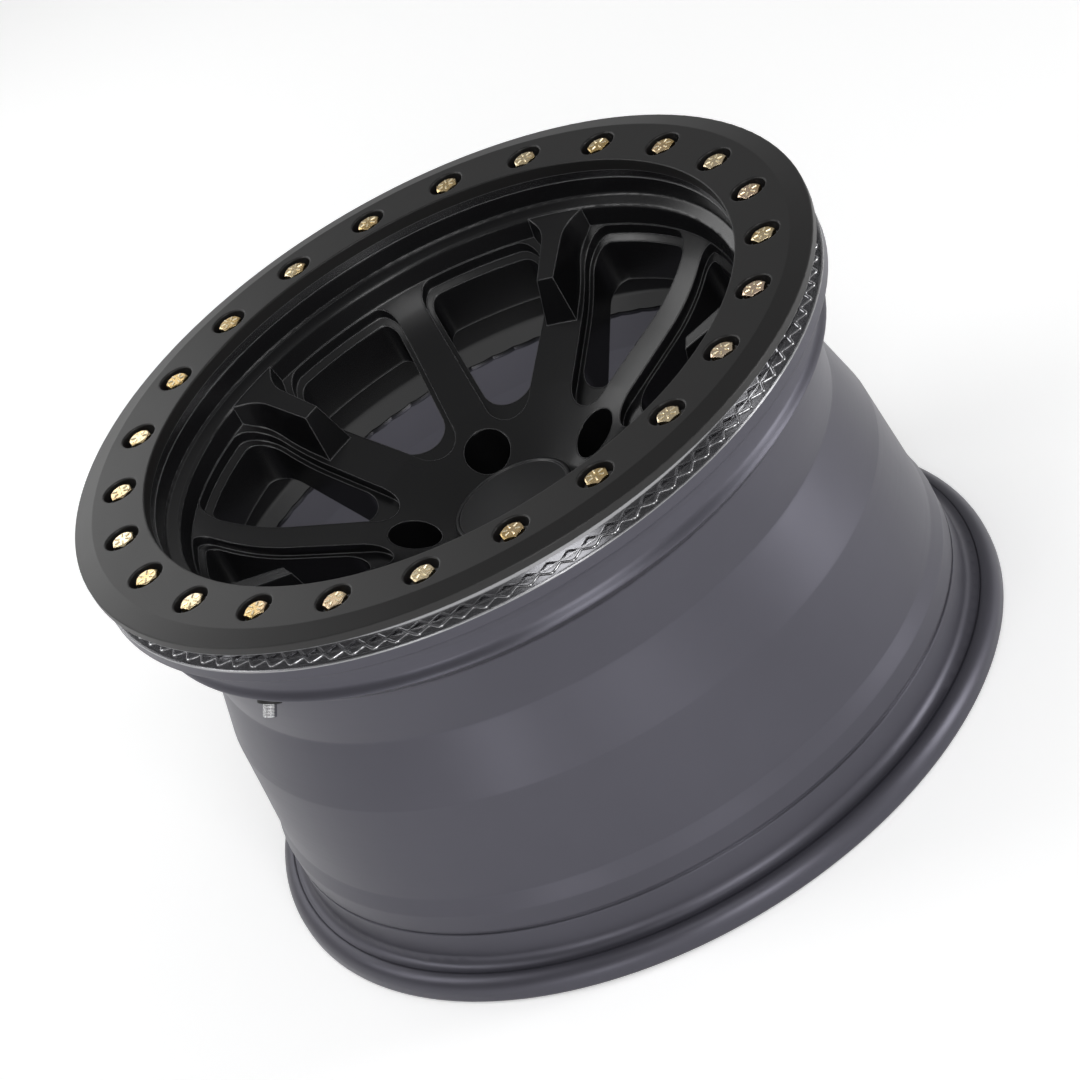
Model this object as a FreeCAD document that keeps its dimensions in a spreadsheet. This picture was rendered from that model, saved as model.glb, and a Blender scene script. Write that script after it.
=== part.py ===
import FreeCAD, Part
import Sketcher
import math
import os

# Off-road wheel with a bolted bead clamp: a cast one-piece wheel, a clamp ring held by
# hex bolts with washers, a push-in centre cap with its spring ring, and a clamp-in tyre valve.
# Millimetres. The axle is Z, the face looks up, and the rear rim stands on the XY plane.
# A lug hole and the slim spoke behind it lie on +Y.

sizes = [
    # clamp ring and the tyre bead's gap
    ("overall_height", 276.6), ("ring_thick", 12.7), ("ring_lip_thick", 8.2), ("bead_gap", 13.8),
    ("ring_inner_rad", 186.5), ("ring_face_rad", 220.3), ("ring_outer_rad", 233.0), ("ring_bevel_drop", 2.8),
    ("ring_lip_clear", 0.9), ("edge_break", 0.6),
    # ring bolts and washers
    ("bolt_circle_rad", 203.2), ("bolt_phase", -1.244), ("bolt_head_flats", 12.7), ("bolt_head_high", 5.2),
    ("bolt_shank_rad", 3.95), ("bolt_grip", 22.0), ("bolt_clear", 0.05), ("bolt_hole_rad", 4.4),
    ("counterbore_rad", 10.6), ("head_below_face", 0.9), ("washer_rad", 8.7), ("washer_thick", 1.6),
    ("tap_depth", 27.0),
    # front of the rim, tyre side
    ("register_rad", 221.5), ("flange_rad", 230.7), ("flange_draw", 0.4), ("flange_band", 8.4),
    ("land_waist_rad", 216.2), ("cove_rad", 12.0), ("land_waist_rise", 9.5), ("land_long", 35.6),
    ("land_foot_rad", 217.3), ("cone_top_rad", 205.5),
    ("drop_rad", 199.5), ("drop_height", 170.3), ("well_rad", 209.8), ("well_height", 127.5),
    # rear of the rim
    ("hump_foot_rad", 214.8), ("hump_foot_height", 63.0), ("hump_rad", 217.7), ("hump_height", 52.0),
    ("groove_height", 38.0), ("groove_wide", 1.8), ("groove_deep", 1.0),
    ("bead_seat_rad", 218.6), ("rear_lip_wide", 15.3), ("rear_lip_rad", 235.0), ("rear_lip_round", 9.0),
    ("rear_inner_rad", 223.5), ("throat_rad", 211.0), ("throat_height", 16.0),
    ("barrel_wall", 6.6), ("joint_rad", 195.5), ("joint_height", 205.0),
    # dish, spokes and hub
    ("dish_wall_rad", 186.0), ("ledge_height", 251.6), ("ledge_rad", 178.6), ("ledge_drop", 3.4),
    ("tee_rad", 177.0), ("tee_height", 236.0), ("dish_bend_rad", 157.8), ("dish_bend_height", 212.7),
    ("dish_curve", 104.0),
    ("hub_edge_rad", 90.0), ("hub_edge_height", 188.0),
    ("spoke_back_rad", 174.0), ("spoke_back_height", 197.0),
    ("hub_back_rad", 97.0), ("hub_back_height", 150.0), ("hub_neck_rad", 83.0), ("hub_neck_height", 132.0),
    ("pad_rad", 77.0), ("pad_height", 121.0), ("bore_rad", 35.75), ("bore_deep", 26.0),
    ("cap_bore_rad", 33.5), ("cap_seat_height", 163.6), ("bowl_rad", 43.5),
    # lightening channels in the backs of the spokes
    ("channel_skin", 11.0), ("channel_in_rad", 104.0), ("channel_out_rad", 152.0), ("channel_slim_half", 5.0),
    ("channel_stout_half", 7.0), ("channel_round", 4.0),
    # raised tabs on the stout spokes
    ("tab_end_rad", 136.0), ("tab_end_height", 231.0), ("tab_knee_rad", 170.0), ("tab_knee_height", 244.2),
    ("tab_foot_rad", 129.5), ("tab_half", 7.0), ("tab_end_half", 5.6),
    ("tab_draft", 10.0), ("tab_flare", 15.0),
    # windows and the lip round each of them
    ("lip_drop", 6.5), ("lip_rim_rad", 176.6), ("lip_slim_half_in", 11.3), ("lip_slim_half_out", 9.4),
    ("lip_stout_half_in", 14.8), ("lip_stout_half_out", 13.2), ("lip_slim_corner", 9.0),
    ("lip_stout_corner", 16.0), ("lip_tip", 15.0), ("lip_wide", 3.2),
    ("window_tip", 17.5), ("window_slim_corner", 7.0), ("window_stout_corner", 12.5),
    # lug holes and the blind pockets of the mounting pad
    ("lug_circle_rad", 63.5), ("lug_mouth_rad", 14.0), ("lug_hole_rad", 7.75), ("lug_seat_height", 133.0),
    ("lug_seat_half_angle", 30.0), ("core_rad", 9.5), ("core_deep", 24.0),
    # centre cap
    ("cap_rad", 37.4), ("cap_height", 174.6), ("cap_rim_wide", 3.2), ("cap_dish", 0.9), ("cap_wall", 3.0),
    ("cap_skirt_clear", 0.25), ("cap_skirt_wall", 2.4), ("cap_skirt_deep", 14.0), ("cap_slot_wide", 4.0),
    ("spring_wire", 1.0), ("spring_fit", 0.1),
    # tyre valve, along its own axis from the seat on the tyre side
    ("valve_angle", 217.2), ("valve_tilt", 38.0), ("valve_in", 6.6), ("valve_sink", 0.3),
    ("valve_web", 9.0), ("valve_hole_rad", 5.75), ("valve_spot_rad", 7.4), ("valve_pocket_rad", 8.8),
    ("valve_stem_rad", 3.85), ("valve_tail", 7.7), ("valve_collar_rad", 5.4), ("valve_collar_thick", 1.2),
    ("valve_collar_in", 0.7), ("grommet_rad", 7.1), ("grommet_thick", 2.6),
    ("grommet_neck", 5.0), ("valve_fit", 0.1), ("valve_washer_rad", 7.6), ("valve_washer_thick", 1.4),
    ("valve_nut_flats", 12.0), ("valve_nut_thick", 5.0), ("valve_length", 40.0), ("valve_core_rad", 2.4),
    ("valve_core_deep", 13.0), ("valve_cap_rad", 5.2), ("valve_cap_long", 11.0),
]

doc = FreeCAD.newDocument("beadlock_wheel")
dims = doc.addObject("Spreadsheet::Sheet", "dims")
for row, (alias, value) in enumerate(sizes, 1):
    dims.set("A%d" % row, alias)
    dims.set("B%d" % row, str(value))
    dims.setAlias("B%d" % row, alias)
doc.recompute()
size = {alias: float(dims.get(alias)) for alias, value in sizes}


def full(text):
    # a size's name is written with a leading @
    return text.replace("@", "dims.")


def number(holder, text):
    found = holder.evalExpression(full(text))
    return float(getattr(found, "Value", found))


def plane(body, role):
    return [feature for feature in body.Origin.OriginFeatures if feature.Role == role][0]


def new_body(name):
    body = doc.addObject("PartDesign::Body", name)
    body.Label = name
    if "AllowCompound" in body.PropertiesList:
        body.AllowCompound = True
    return body


def new_sketch(body, name, role, lift=None):
    sketch = body.newObject("Sketcher::SketchObject", name)
    sketch.AttachmentSupport = [(plane(body, role), "")]
    sketch.MapMode = "FlatFace"
    if lift:
        sketch.setExpression(".AttachmentOffset.Base.z", full(lift))
    return sketch


def bind(sketch, index, text):
    sketch.setExpression("Constraints[%d]" % index, full(text))


def fix_point(sketch, shape_index, end, across, along):
    # holds a point at a place in the sketch that follows the sheet
    for kind, text in (("DistanceX", across), ("DistanceY", along)):
        if text == "0":
            axis = -2 if kind == "DistanceX" else -1
            sketch.addConstraint(Sketcher.Constraint("PointOnObject", shape_index, end, axis))
        else:
            reach = number(sketch, text)
            index = sketch.addConstraint(Sketcher.Constraint(kind, -1, 1, shape_index, end, reach))
            bind(sketch, index, text)


def outline(sketch, corners):
    # closed outline of straight lines, each corner sharp or rounded: (across, along, round)
    count = len(corners)
    spot = [FreeCAD.Vector(number(sketch, a), number(sketch, b), 0) for a, b, c in corners]
    turn = [number(sketch, c) if c else 0.0 for a, b, c in corners]
    entry, leave, arcs = [], [], {}
    for i in range(count):
        before, here, after = spot[i - 1], spot[i], spot[(i + 1) % count]
        back = (before - here).normalize()
        on = (after - here).normalize()
        if not turn[i]:
            entry.append(here)
            leave.append(here)
            continue
        half = back.getAngle(on) / 2
        reach = turn[i] / math.tan(half)
        entry.append(here + back * reach)
        leave.append(here + on * reach)
        centre = here + (back + on).normalize() * (turn[i] / math.sin(half))
        arcs[i] = (centre, back.cross(on).z < 0)
    for i in range(count):
        sketch.addGeometry(Part.LineSegment(leave[i], entry[(i + 1) % count]), False)
    for i, (centre, left) in arcs.items():
        first, last = (entry[i], leave[i]) if left else (leave[i], entry[i])
        begin = math.atan2(first.y - centre.y, first.x - centre.x)
        finish = math.atan2(last.y - centre.y, last.x - centre.x)
        circle = Part.Circle(centre, FreeCAD.Vector(0, 0, 1), turn[i])
        arc = sketch.addGeometry(Part.ArcOfCircle(circle, begin, finish), False)
        point = sketch.addGeometry(Part.Point(spot[i]), True)
        sketch.addConstraint(Sketcher.Constraint("Tangent", (i - 1) % count, 2, arc, 1 if left else 2))
        sketch.addConstraint(Sketcher.Constraint("Tangent", arc, 2 if left else 1, i, 1))
        bind(sketch, sketch.addConstraint(Sketcher.Constraint("Radius", arc, turn[i])), corners[i][2])
        fix_point(sketch, point, 1, corners[i][0], corners[i][1])
        sketch.addConstraint(Sketcher.Constraint("PointOnObject", point, 1, (i - 1) % count))
        sketch.addConstraint(Sketcher.Constraint("PointOnObject", point, 1, i))
    for i in range(count):
        if not turn[i]:
            sketch.addConstraint(Sketcher.Constraint("Coincident", (i - 1) % count, 2, i, 1))
            fix_point(sketch, i, 1, corners[i][0], corners[i][1])


def hexagon(sketch, reach):
    # six sharp corners at a distance from the origin, two of them on the level axis
    corners = []
    for k in range(6):
        across = "%s * cos(%d deg)" % (reach, 60 * k)
        along = "%s * sin(%d deg)" % (reach, 60 * k) if k % 3 else "0"
        corners.append((across, along, None))
    outline(sketch, corners)


def upright(sketch, across):
    # a construction line along the sketch's upright, at a distance that follows the sheet
    reach = number(sketch, across)
    ends = [FreeCAD.Vector(reach, 0, 0), FreeCAD.Vector(reach, 10, 0)]
    line = sketch.addGeometry(Part.LineSegment(*ends), True)
    fix_point(sketch, line, 1, across, "0")
    sketch.addConstraint(Sketcher.Constraint("Vertical", line))
    index = sketch.addConstraint(Sketcher.Constraint("DistanceY", line, 1, line, 2, 10.0))
    bind(sketch, index, "10")


def turned(name, corners, axis_at=None, role="XZ_Plane"):
    # a body turned about Z, or about an upright line at a distance from it
    body = new_body(name)
    sketch = new_sketch(body, name + "_profile", role)
    outline(sketch, corners)
    if axis_at:
        upright(sketch, axis_at)
    doc.recompute()
    spin = body.newObject("PartDesign::Revolution", name + "_turn")
    spin.Profile = sketch
    if axis_at:
        drawn = range(sketch.GeometryCount)
        aids = [g for g in drawn if sketch.getConstruction(g) and "Line" in sketch.Geometry[g].TypeId]
        spin.ReferenceAxis = (sketch, ["Axis%d" % (len(aids) - 1)])
    else:
        spin.ReferenceAxis = (sketch, ["V_Axis"])
    spin.Angle = 360
    doc.recompute()
    return body


def ring_of(body, originals, times):
    pattern = body.newObject("PartDesign::PolarPattern", body.Name + "_ring")
    pattern.Originals = originals
    pattern.Axis = (plane(body, "Z_Axis"), [""])
    pattern.Angle = 360
    pattern.Occurrences = times
    body.Tip = pattern
    doc.recompute()
    return pattern


def boolean(kind, name, base, tool):
    made = doc.addObject("Part::" + kind, name)
    made.Label = name
    if kind == "MultiCommon":
        made.Shapes = [base, tool]
    else:
        made.Base = base
        made.Tool = tool
    doc.recompute()
    return made


bolts = 24
spokes = 5
seat = "@overall_height - @ring_thick"
lip_under = "@overall_height - @ring_lip_thick"
clamp = "@overall_height - @ring_lip_thick - @bead_gap"
cove_top = "@overall_height - @ring_lip_thick - @bead_gap - @flange_band"
land_foot = "@overall_height - @ring_lip_thick - @bead_gap - @land_long"
# the face below the land is square to the tyre valve
cone_top = land_foot + " - (@land_foot_rad - @cone_top_rad) * tan(@valve_tilt * 1 deg)"

# Blank of the casting: rim, dish, hub and bore in one section.
blank = turned("casting_blank", [
    ("@dish_wall_rad", seat, None),
    ("@register_rad", seat, "@edge_break"),
    ("@register_rad", clamp, None),
    ("@flange_rad", clamp, "@edge_break"),
    ("@flange_rad - @flange_draw", cove_top, "@edge_break"),
    ("@land_waist_rad", cove_top, "@cove_rad"),
    ("@land_waist_rad", land_foot + " + @land_waist_rise", "50 * @edge_break"),
    ("@land_foot_rad", land_foot, "@edge_break"),
    ("@cone_top_rad", cone_top, "5 * @edge_break"),
    ("@drop_rad", "@drop_height", "5 * @edge_break"),
    ("@well_rad", "@well_height", "8 * @edge_break"),
    ("@hump_foot_rad", "@hump_foot_height", "5 * @edge_break"),
    ("@hump_rad", "@hump_height", "5 * @edge_break"),
    ("@hump_rad", "@groove_height + @groove_wide / 2", None),
    ("@hump_rad - @groove_deep", "@groove_height + @groove_wide / 2", None),
    ("@hump_rad - @groove_deep", "@groove_height - @groove_wide / 2", None),
    ("@hump_rad", "@groove_height - @groove_wide / 2", None),
    ("@bead_seat_rad", "@rear_lip_wide", "10 * @edge_break"),
    ("@rear_lip_rad", "@rear_lip_wide", "@rear_lip_round"),
    ("@rear_lip_rad", "0", "5 * @edge_break"),
    ("@rear_inner_rad", "0", "5 * @edge_break"),
    ("@throat_rad", "@throat_height", "15 * @edge_break"),
    ("@hump_rad - @barrel_wall", "@hump_height", "15 * @edge_break"),
    ("@hump_foot_rad - @barrel_wall", "@hump_foot_height", "15 * @edge_break"),
    ("@well_rad - @barrel_wall", "@well_height", "15 * @edge_break"),
    ("@drop_rad - @barrel_wall", "@drop_height + 2", "15 * @edge_break"),
    ("@joint_rad", "@joint_height", "12 * @edge_break"),
    ("@spoke_back_rad", "@spoke_back_height", "3 * @edge_break"),
    ("@hub_back_rad", "@hub_back_height", "15 * @edge_break"),
    ("@hub_neck_rad", "@hub_neck_height", "10 * @edge_break"),
    ("@pad_rad", "@pad_height", "2 * @edge_break"),
    ("@bore_rad", "@pad_height", None),
    ("@bore_rad", "@pad_height + @bore_deep", None),
    ("@cap_bore_rad", "@pad_height + @bore_deep", None),
    ("@cap_bore_rad", "@cap_seat_height", None),
    ("@bowl_rad", "@cap_seat_height", "6 * @edge_break"),
    ("@hub_edge_rad", "@hub_edge_height", "5 * @edge_break"),
    ("@dish_bend_rad", "@dish_bend_height", "@dish_curve"),
    ("@tee_rad", "@tee_height", None),
    ("@ledge_rad", "@ledge_height - @ledge_drop", "4 * @edge_break"),
    ("@dish_wall_rad", "@ledge_height", "3 * @edge_break"),
])

# Raised tabs: a turned zone, kept only inside five tapered tongues that flare into the ledge.
dish_slope = "(@dish_bend_height - @hub_edge_height) / (@dish_bend_rad - @hub_edge_rad)"
tee_slope = "(@tee_height - @dish_bend_height) / (@tee_rad - @dish_bend_rad)"
foot_height = "(@hub_edge_height + (@tab_foot_rad - @hub_edge_rad) * %s)" % dish_slope
tab_zone = turned("tab_zone", [
    ("@tab_end_rad", "@tab_end_height", None),
    ("@tab_knee_rad", "@tab_knee_height", None),
    ("@ledge_rad", "@ledge_height - @ledge_drop", None),
    ("@ledge_rad + 4", "@ledge_height - @ledge_drop - 9", None),
    ("@tee_rad + 3", "@tee_height - 8", None),
    ("@dish_bend_rad", "@dish_bend_height - 4", None),
    ("@tab_foot_rad - (@tab_end_rad - @tab_foot_rad) * 0.3",
     foot_height + " - (@tab_end_height - %s) * 0.3" % foot_height, None),
])

tongue = new_body("tab_tongue")
tongue_sketch = new_sketch(tongue, "tab_tongue_outline", "XY_Plane", "@ledge_height")
# the tongue is drawn along -Y, between two slim spokes; its drafted sides reach the half widths of the
# sheet at the heights of the knee and of the end
knee_half = "(@tab_half - (@ledge_height - @tab_knee_height) * tan(@tab_draft * 1 deg))"
end_half = "(@tab_end_half - (@ledge_height - @tab_end_height) * tan(@tab_draft * 1 deg))"
outline(tongue_sketch, [
    ("-1 * (@tab_half + @tab_flare)", "-@ledge_rad - 2", None),
    ("-1 * " + knee_half, "@tab_flare * 0.6 - @ledge_rad", "@tab_flare * 1.2"),
    ("-1 * " + end_half, "-@tab_end_rad", None),
    ("-1 * " + end_half, "-@tab_foot_rad + 20", None),
    (end_half, "-@tab_foot_rad + 20", None),
    (end_half, "-@tab_end_rad", None),
    (knee_half, "@tab_flare * 0.6 - @ledge_rad", "@tab_flare * 1.2"),
    ("@tab_half + @tab_flare", "-@ledge_rad - 2", None),
])
doc.recompute()
tongue_pad = tongue.newObject("PartDesign::Pad", "tab_tongue_pad")
tongue_pad.Profile = tongue_sketch
tongue_pad.setExpression("Length", full("@ledge_height - @hub_edge_height + 8"))
tongue_pad.Reversed = True
tongue_pad.setExpression("TaperAngle", full("@tab_draft"))
doc.recompute()
ring_of(tongue, [tongue_pad], spokes)
tabs = boolean("MultiCommon", "tabs", tab_zone, tongue)
cast = boolean("Fuse", "casting_with_tabs", blank, tabs)


def window(body, name, side, sunk, rim, slim_corner, stout_corner, tip, lift):
    # plan of one window beside the slim spoke on +Y: two straight flanks, a rim arc, three round corners.
    # sunk is how far the outline lies inside the lip's own outline,
    # side is 1 to the right and -1 to the left.
    sketch = new_sketch(body, name, "XY_Plane", lift)
    half_step = 180.0 / spokes
    stout = FreeCAD.Vector(side * math.sin(math.radians(half_step)), math.cos(math.radians(half_step)), 0)
    inner, outer = "@hub_edge_rad", "@tab_knee_rad"

    def slim_place(half, along):
        return ("%d * (%s + %s)" % (side, half, sunk), along)

    def stout_place(half, along):
        off = "(%s + %s)" % (half, sunk)
        across = "%d * ((%s) * sin(%g deg) - %s * cos(%g deg))" % (side, along, half_step, off, half_step)
        return (across, "(%s) * cos(%g deg) + %s * sin(%g deg)" % (along, half_step, off, half_step))

    slim = [slim_place("@lip_slim_half_in", inner), slim_place("@lip_slim_half_out", outer)]
    wide = [stout_place("@lip_stout_half_in", inner), stout_place("@lip_stout_half_out", outer)]
    point = lambda place: FreeCAD.Vector(number(sketch, place[0]), number(sketch, place[1]), 0)
    slim_pts, wide_pts = [point(p) for p in slim], [point(p) for p in wide]
    slim_way = (slim_pts[1] - slim_pts[0]).normalize()
    wide_way = (wide_pts[1] - wide_pts[0]).normalize()
    slim_in = FreeCAD.Vector(side * slim_way.y, -side * slim_way.x, 0)
    wide_in = FreeCAD.Vector(-side * wide_way.y, side * wide_way.x, 0)
    rim_r, slim_r, wide_r, tip_r = [number(sketch, t) for t in (rim, slim_corner, stout_corner, tip)]

    def rim_corner(start, way, inward, turn):
        base = start + inward * turn
        b = base.dot(way)
        c = base.dot(base) - (rim_r - turn) ** 2
        centre = base + way * (-b + math.sqrt(b * b - c))
        return centre, centre - inward * turn, centre * (rim_r / centre.Length)

    slim_c, slim_on, slim_rim = rim_corner(slim_pts[0], slim_way, slim_in, slim_r)
    wide_c, wide_on, wide_rim = rim_corner(wide_pts[0], wide_way, wide_in, wide_r)
    # centre of the tip, the same distance from both flanks
    p, q = slim_pts[0] + slim_in * tip_r, wide_pts[0] + wide_in * tip_r
    cross = slim_way.x * wide_way.y - slim_way.y * wide_way.x
    step = ((q - p).x * wide_way.y - (q - p).y * wide_way.x) / cross
    tip_c = p + slim_way * step
    tip_slim, tip_wide = tip_c - slim_in * tip_r, tip_c - wide_in * tip_r

    def arc(centre, turn, one, two):
        # short way round from one point to the other
        a, b = math.atan2(one.y - centre.y, one.x - centre.x), math.atan2(two.y - centre.y, two.x - centre.x)
        ahead = (b - a) % (2 * math.pi) < math.pi
        begin, finish = (a, b) if ahead else (b, a)
        circle = Part.Circle(centre, FreeCAD.Vector(0, 0, 1), turn)
        return sketch.addGeometry(Part.ArcOfCircle(circle, begin, finish), False), ahead

    flank_slim = sketch.addGeometry(Part.LineSegment(tip_slim, slim_on), False)
    corner_slim, go1 = arc(slim_c, slim_r, slim_on, slim_rim)
    rim_arc, go2 = arc(FreeCAD.Vector(), rim_r, slim_rim, wide_rim)
    corner_wide, go3 = arc(wide_c, wide_r, wide_rim, wide_on)
    flank_wide = sketch.addGeometry(Part.LineSegment(wide_on, tip_wide), False)
    tip_arc, go4 = arc(tip_c, tip_r, tip_wide, tip_slim)
    chain = [(flank_slim, True), (corner_slim, go1), (rim_arc, go2),
             (corner_wide, go3), (flank_wide, True), (tip_arc, go4)]
    for (a, fore), (b, forward) in zip(chain, chain[1:] + chain[:1]):
        sketch.addConstraint(Sketcher.Constraint("Tangent", a, 2 if fore else 1, b, 1 if forward else 2))
    rounds = [(corner_slim, slim_r, slim_corner), (rim_arc, rim_r, rim),
              (corner_wide, wide_r, stout_corner), (tip_arc, tip_r, tip)]
    for shape_index, value, text in rounds:
        bind(sketch, sketch.addConstraint(Sketcher.Constraint("Radius", shape_index, value)), text)
    sketch.addConstraint(Sketcher.Constraint("Coincident", rim_arc, 3, -1, 1))
    for places, points, flank in ((slim, slim_pts, flank_slim), (wide, wide_pts, flank_wide)):
        for place, spot in zip(places, points):
            mark = sketch.addGeometry(Part.Point(spot), True)
            fix_point(sketch, mark, 1, place[0], place[1])
            sketch.addConstraint(Sketcher.Constraint("PointOnObject", mark, 1, flank))
    doc.recompute()
    return sketch


def window_set(name, sunk, rim, slim_corner, stout_corner, tip, lift, high):
    body = new_body(name)
    pads = []
    for side, word in ((1, "right"), (-1, "left")):
        sketch = window(body, "%s_%s" % (name, word), side, sunk, rim, slim_corner, stout_corner, tip, lift)
        pad = body.newObject("PartDesign::Pad", "%s_%s_pad" % (name, word))
        pad.Profile = sketch
        pad.setExpression("Length", full(high))
        doc.recompute()
        pads.append(pad)
    ring_of(body, pads, spokes)
    return body


# The lip: ten sunk panels whose floor follows the dish a little lower down.
lip_plan = window_set("lip_plan", "0", "@lip_rim_rad", "@lip_slim_corner", "@lip_stout_corner", "@lip_tip",
                      "@cap_seat_height", "@ledge_height - @cap_seat_height - @ledge_drop - 2")
lip_zone = turned("lip_zone", [
    ("@bowl_rad + 15",
     "@hub_edge_height - @lip_drop - (@hub_edge_rad - @bowl_rad - 15) * " + dish_slope, None),
    ("@dish_bend_rad", "@dish_bend_height - @lip_drop", "@dish_curve"),
    ("@tee_rad + 6", "@tee_height - @lip_drop + 6 * " + tee_slope, None),
    ("@tee_rad + 6", "@overall_height", None),
    ("@bowl_rad + 15", "@overall_height", None),
])
lips = boolean("MultiCommon", "lips", lip_zone, lip_plan)
cast = boolean("Cut", "casting_with_lips", cast, lips)

# The windows, cut right through inside the lips.
windows = window_set("windows", "@lip_wide", "@lip_rim_rad - @lip_wide", "@window_slim_corner",
                     "@window_stout_corner", "@window_tip", "@pad_height", "@overall_height - @pad_height")
cast = boolean("Cut", "casting_with_windows", cast, windows)

# Channels in the backs of the spokes, whose roof follows the dish at a skin below it.
channel_plan = new_body("channel_plan")
channel_pads = []
for half, way, word in (("@channel_slim_half", 1, "slim"), ("@channel_stout_half", -1, "stout")):
    channel_sketch = new_sketch(channel_plan, "channel_%s" % word, "XY_Plane", "@pad_height")
    near, far = "%d * @channel_in_rad" % way, "%d * @channel_out_rad" % way
    outline(channel_sketch, [
        ("-1 * " + half, near, "@channel_round"),
        (half, near, "@channel_round"),
        (half, far, "@channel_round"),
        ("-1 * " + half, far, "@channel_round"),
    ])
    doc.recompute()
    channel_pad = channel_plan.newObject("PartDesign::Pad", "channel_%s_pad" % word)
    channel_pad.Profile = channel_sketch
    channel_pad.setExpression("Length", full("@ledge_height - @pad_height"))
    doc.recompute()
    channel_pads.append(channel_pad)
ring_of(channel_plan, channel_pads, spokes)
channel_roof = "@hub_edge_height - @channel_skin + (%s - @hub_edge_rad) * " + dish_slope
channel_zone = turned("channel_zone", [
    ("@channel_in_rad - 8", "@pad_height", None),
    ("@channel_in_rad - 8", channel_roof % "@channel_in_rad - 8", None),
    ("@channel_out_rad + 8", channel_roof % "@channel_out_rad + 8", None),
    ("@channel_out_rad + 8", "@pad_height", None),
])
channels = boolean("MultiCommon", "channels", channel_zone, channel_plan)
cast = boolean("Cut", "casting_with_channels", cast, channels)

# Lug holes on the slim spokes' lines, with cone seats; blind pockets in the pad between them.
lug_seat_top = "@lug_seat_height + (@lug_mouth_rad - @lug_hole_rad) / tan(@lug_seat_half_angle * 1 deg)"
lug = turned("lug_holes", [
    ("@lug_circle_rad", "@pad_height - 5", None),
    ("@lug_circle_rad + @lug_hole_rad", "@pad_height - 5", None),
    ("@lug_circle_rad + @lug_hole_rad", "@lug_seat_height", None),
    ("@lug_circle_rad + @lug_mouth_rad", lug_seat_top, None),
    ("@lug_circle_rad + @lug_mouth_rad", "@hub_edge_height + 5", None),
    ("@lug_circle_rad", "@hub_edge_height + 5", None),
], "@lug_circle_rad", "YZ_Plane")
ring_of(lug, [lug.Tip], spokes)
cast = boolean("Cut", "casting_with_lugs", cast, lug)
core = turned("pad_pockets", [
    ("-@lug_circle_rad", "@pad_height - 5", None),
    ("-@lug_circle_rad - @core_rad", "@pad_height - 5", None),
    ("-@lug_circle_rad - @core_rad", "@pad_height + @core_deep", "3"),
    ("-@lug_circle_rad", "@pad_height + @core_deep", None),
], "-@lug_circle_rad", "YZ_Plane")
ring_of(core, [core.Tip], spokes)
cast = boolean("Cut", "casting_with_pockets", cast, core)

# Tapped holes for the ring bolts.
tapped = turned("tapped_holes", [
    ("@bolt_circle_rad", seat + " + 5", None),
    ("@bolt_circle_rad + @bolt_shank_rad + @bolt_clear", seat + " + 5", None),
    ("@bolt_circle_rad + @bolt_shank_rad + @bolt_clear", seat + " - @tap_depth", None),
    ("@bolt_circle_rad", seat + " - @tap_depth - @bolt_shank_rad * 0.6", None),
], "@bolt_circle_rad")
ring_of(tapped, [tapped.Tip], bolts)
tapped.setExpression("Placement.Rotation.Angle", full("@bolt_phase"))
doc.recompute()
cast = boolean("Cut", "casting_tapped", cast, tapped)

# Valve: every piece is turned about its own axis, then laid through the rim.
angle = math.radians(size["valve_angle"])
outward = FreeCAD.Vector(math.cos(angle), math.sin(angle), 0)
sideways = FreeCAD.Vector(-math.sin(angle), math.cos(angle), 0)
up = FreeCAD.Vector(0, 0, 1)
tilt = math.radians(size["valve_tilt"])
inward = up * math.cos(tilt) - outward * math.sin(tilt)
seat_rad = size["land_foot_rad"] - size["valve_in"]
seat_height = number(dims, land_foot) - size["valve_in"] * math.tan(tilt)
valve_place = FreeCAD.Placement(outward * seat_rad + up * seat_height + inward * size["valve_sink"],
                                FreeCAD.Rotation(sideways, -size["valve_tilt"]))
valve_cut = turned("valve_cut", [
    ("0", "-20", None),
    ("@valve_spot_rad", "-20", None),
    ("@valve_spot_rad", "0", None),
    ("@valve_hole_rad", "0", None),
    ("@valve_hole_rad", "@valve_web", None),
    ("@valve_pocket_rad", "@valve_web", "1"),
    ("@valve_pocket_rad", "@valve_length + 18", None),
    ("0", "@valve_length + 18", None),
])
valve_cut.Placement = valve_place
doc.recompute()
casting = boolean("Cut", "wheel_casting", cast, valve_cut)

# Clamp ring with counterbored holes.
head_seat = "@overall_height - @head_below_face - @bolt_head_high - @washer_thick"
ring = turned("beadlock_ring", [
    ("@ring_inner_rad", "@overall_height", "@edge_break"),
    ("@ring_face_rad", "@overall_height", None),
    ("@ring_outer_rad", "@overall_height - @ring_bevel_drop", "@edge_break"),
    ("@ring_outer_rad", lip_under, "@edge_break"),
    ("@register_rad + @ring_lip_clear", lip_under, None),
    ("@register_rad + @ring_lip_clear", seat, None),
    ("@ring_inner_rad", seat, None),
])
bore_sketch = new_sketch(ring, "ring_bolt_hole", "XZ_Plane")
outline(bore_sketch, [
    ("@bolt_circle_rad", seat + " - 5", None),
    ("@bolt_circle_rad + @bolt_hole_rad", seat + " - 5", None),
    ("@bolt_circle_rad + @bolt_hole_rad", head_seat, None),
    ("@bolt_circle_rad + @counterbore_rad", head_seat, None),
    ("@bolt_circle_rad + @counterbore_rad", "@overall_height - @edge_break", None),
    ("@bolt_circle_rad + @counterbore_rad + 2 * @edge_break", "@overall_height + @edge_break", None),
    ("@bolt_circle_rad", "@overall_height + @edge_break", None),
])
upright(bore_sketch, "@bolt_circle_rad")
doc.recompute()
bore = ring.newObject("PartDesign::Groove", "ring_bolt_groove")
bore.Profile = bore_sketch
bore.ReferenceAxis = (bore_sketch, ["Axis0"])
bore.Angle = 360
doc.recompute()
ring_of(ring, [bore], bolts)
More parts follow.
